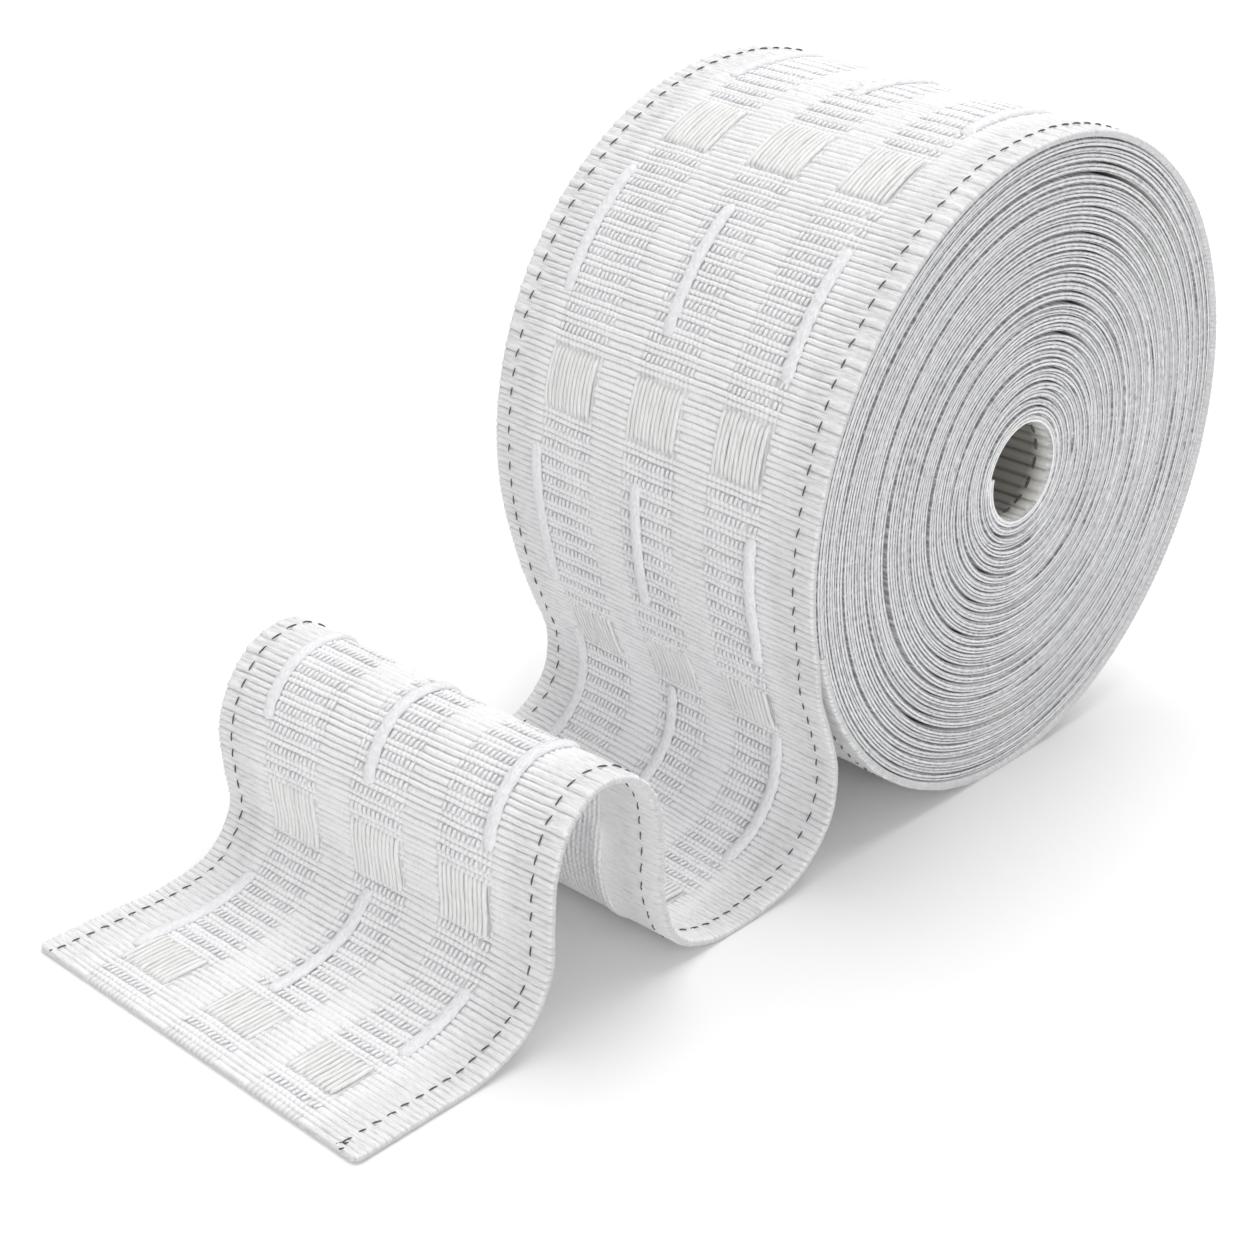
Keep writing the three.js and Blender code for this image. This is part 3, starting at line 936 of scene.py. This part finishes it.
# painted shade: valleys are painted darker on the face, and the back lies deep without being painted dark
valleys = add_node(tree, "MapRange", lift, -0.3, 0.1)
depth = add_node(tree, "Math", valleys, back, operation="MAXIMUM")
# painted shade on the low parts of the bump, in the gaps between the beads of a column and between hairs elsewhere,
# which is partly the yarn's grain
grain_and_gap_shade = add_node(tree, "MapRange", height, 0.27, 0.57, 0.0, 0.5)
tone = add_node(tree, "Math", depth, 0.62, grain_and_gap_shade, operation="MULTIPLY_ADD")
shade_and_bump(tree, bsdf, tone, height, "#fdfdfe", "#c0c0c2", 0.36)

# %% The loops
loop, tree, bsdf = new_material("small_woven_loops", WOVEN)
place, (_, _, lift) = kept_places(tree, "flat")
height = hairs(tree, place, (3.0, 2.0, 0.0))
# painted shade: the loops are darker low down, where they stand in the ribs
tone = yarn_painted_shade(tree, lift, -0.1, 0.3, 0.7, height, (0.3, 0.62), 0.4)
shade_and_bump(tree, bsdf, tone, height, "#fdfdfe", "#c8c8cb", 0.24)

# %% The pocket yarns, the cords and the marker thread
TWIST = 0.16                           # the plies of a yarn drift aside by this share of its length

soft, tree, bsdf = new_material("soft_pocket_yarn", WOVEN)
place, (x, s, lift) = kept_places(tree, "flat")
drifting = add_node(tree, "Math", s, TWIST, x, operation="MULTIPLY_ADD")
slower = add_node(tree, "Math", s, TWIST, operation="MULTIPLY")
ply = hairs(tree, add_node(tree, "CombineXYZ", drifting, slower), (5.0, 0.6, 1.0))
# painted shade: the yarns are darker low down, on their undersides and where their ends dip into the cloth
tone = yarn_painted_shade(tree, lift, -0.14, 0.3, 0.7, ply, (0.3, 0.62), 0.4)
shade_and_bump(tree, bsdf, tone, ply, "#f9f9f8", "#d6d6d5", 0.3)

cord, tree, bsdf = new_material("smooth_draw_cord", {**WOVEN, "Roughness": 0.8, "Sheen Weight": 0.35})
place, (_, _, lift) = kept_places(tree, "flat")
fluff = hairs(tree, place, (2.2, 1.0, 2.2), 3.0)
# painted shade: the cords are darker low down, on their undersides and where they sink into the tape
tone = yarn_painted_shade(tree, lift, -0.2, 0.35, 0.6, fluff, (0.3, 0.7), 0.5)
shade_and_bump(tree, bsdf, tone, fluff, "#f8f8fa", "#cbcbcf", 0.4)

dark_thread, tree, bsdf = new_material("dark_marker_thread", {**WOVEN, "Sheen Weight": 0.1})
place, _ = kept_places(tree, "flat")
ply = hairs(tree, place, (4.0, 2.0, 4.0))
tone = add_node(tree, "MapRange", ply, 0.3, 0.7)
shade_and_bump(tree, bsdf, tone, ply, "#66676a", "#3a3b3e", 0.05)

# %% [markdown]
# ## The side of the roll
# An edge shows the ends of the weave's layers: a fine grain, dark pin holes, and two or three thin
# lines along each turn, which come and go. They are far too many to model, so they are drawn as a sine
# wave through the tape's thickness, whose phase the grain shifts. A dark line just below each turn's face
# is painted shade in the slit between two turns, and a slow noise makes some turns lighter than others.

# %% The side of the roll
LAYERS = 9.4                           # radians to a millimetre of depth, so a line every 0.67 mm

edge, tree, bsdf = new_material("wound_tape_edge", WOVEN)
place, (x, _, lift) = kept_places(tree, "flat")
_, (ribbed, last, back) = kept_places(tree, "zone")
grain = hairs(tree, place, (0.0, 0.6, 3.6), 3.0)
slow = hairs(tree, place, (0.0, 0.035, 0.0), 1.0)
spots = hairs(tree, place, (0.0, 1.1, 0.0), 1.0)
pin_holes = hairs(tree, place, (0.0, 0.45, 5.0), 1.0)

even_layers = add_node(tree, "Math", lift, LAYERS, operation="MULTIPLY")
real_layers = add_node(tree, "Math", grain, 0.6, even_layers, operation="MULTIPLY_ADD")
wave = add_node(tree, "Math", real_layers, operation="SINE")
thin_lines = add_node(tree, "MapRange", wave, 0.2, 0.95)
come_and_go = add_node(tree, "MapRange", slow, 0.38, 0.6, 0.5, 1.0)
layer_lines = add_node(tree, "Math", thin_lines, come_and_go, operation="MULTIPLY")
# painted shade: a dark line just below each turn's face, in the slit between two turns
painted_slit_shade = add_node(tree, "MapRange", lift, -0.12, -0.02, 0.0, 0.8)
all_lines = add_node(tree, "Math", layer_lines, painted_slit_shade, operation="MAXIMUM")
dots = add_node(tree, "MapRange", spots, 0.4, 0.6, 0.6, 1.0)
lines = add_node(tree, "Math", all_lines, dots, operation="MULTIPLY")
holes = add_node(tree, "MapRange", pin_holes, 0.64, 0.74, 0.0, 0.25)
marks = add_node(tree, "Math", lines, 0.7, holes, operation="MULTIPLY_ADD")
raised = add_node(tree, "Math", grain, 0.7, 0.15, operation="MULTIPLY_ADD")
height = add_node(tree, "Math", raised, marks, operation="SUBTRACT")
turn_tone = add_node(tree, "MapRange", slow, 0.3, 0.7, 0.56, 0.76)
fine_tone = add_node(tree, "MapRange", height, -0.1, 0.62, -0.75, 0.35)
tone = add_node(tree, "Math", turn_tone, fine_tone, operation="ADD")
tone = add_node(tree, "Math", last, 0.45, tone, operation="MULTIPLY_ADD")     # the last turn is fluffy
side_shade = shade_and_bump(tree, bsdf, tone, height, "#fafafc", "#7c7c80", 0.4)

# %% The inside of the hole
# The back inside the hole is painted a dark warm grey as painted shadow. It is darker in the valleys of its ribs as
# painted shade, and painted lighter only near its rim.
lit_rib_tops = add_node(tree, "MapRange", ribbed, 0.3, 0.9, 0.0, 0.25)
lit_near_rim = add_node(tree, "MapRange", x, 70.0, 73.0, 0.0, 0.75)
hole_shadow_tone = add_node(tree, "Math", lit_rib_tops, lit_near_rim, operation="ADD")
# painted shadow: the dark warm grey of the hole's back, lighter on the rib tops and near the rim
painted_hole_shadow = add_node(
    tree, "Mix", data_type="RGBA", gives=2,
    Factor_Float=hole_shadow_tone, A_Color=colour("#6b685f"), B_Color=colour("#efede8")
)
finished = add_node(tree, "Mix", data_type="RGBA", gives=2, Factor_Float=back, A_Color=side_shade, B_Color=painted_hole_shadow)
tree.links.new(finished, bsdf.inputs["Base Color"])

# %% Give each piece its finish
for material, pieces in (
    (woven, [loose_cloth, *wound_pieces[:2]]),
    (edge, wound_pieces[2:]),
    (loop, [loops_on_loose, loops_on_roll]),
    (soft, [yarns_on_loose, yarns_on_roll]),
    (cord, [cords_on_loose, cords_on_roll]),
    (dark_thread, [marker_on_loose, marker_on_roll, marker_in_hole]),
):
    for piece in pieces:
        piece.data.materials.append(material)

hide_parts("wound_tape")

# %% [markdown]
# ## Table and light
# A white tape on a white table lives from its soft greys, so no light may be hard. A bright even
# surround fills the shadows, as white walls would. One large light hangs high over the roll. A second
# behind it draws its soft shadow forwards, and a third, low at the right, lights its side. Their
# powers were fitted to the greys of the photo.

# %% Table and light
bm = bmesh.new()
bmesh.ops.create_grid(bm, x_segments=1, y_segments=1, size=6)
floor_mesh = bpy.data.meshes.new("table_top")
bm.to_mesh(floor_mesh)
bm.free()
table_top = bpy.data.objects.new("table_top", floor_mesh)
bpy.context.scene.collection.objects.link(table_top)
paper_finish = {"Base Color": colour("#f8f8f8"), "Roughness": 0.9, "IOR": 1.5, "Specular IOR Level": 0.1}
paper, _, _ = new_material("white_paper", paper_finish)
table_top.data.materials.append(paper)

world = bpy.data.worlds.new("studio")
world.use_nodes = True
background = world.node_tree.nodes["Background"]
background.inputs["Color"].default_value = (1.0, 1.0, 1.0, 1.0)
background.inputs["Strength"].default_value = 0.55
bpy.context.scene.world = world


def soft_light(name, place, size, power):
    """A round lamp of this size in metres and power in watts that looks at the middle of the roll."""
    light = bpy.data.lights.new(name, "AREA")
    light.shape = "DISK"
    light.size = size
    light.energy = power
    lamp = bpy.data.objects.new(name, light)
    lamp.location = place
    lamp.rotation_mode = "QUATERNION"
    lamp.rotation_quaternion = (Vector(place) - Vector((0, 0, 0.05))).to_track_quat("Z", "Y")
    bpy.context.scene.collection.objects.link(lamp)


soft_light("key_light", (-0.3, 0.55, 2.4), 2.0, 34.0)
soft_light("back_light", (-0.4, 2.0, 1.6), 1.4, 14.0)
soft_light("side_light", (2.0, -1.05, 0.7), 1.4, 15.0)
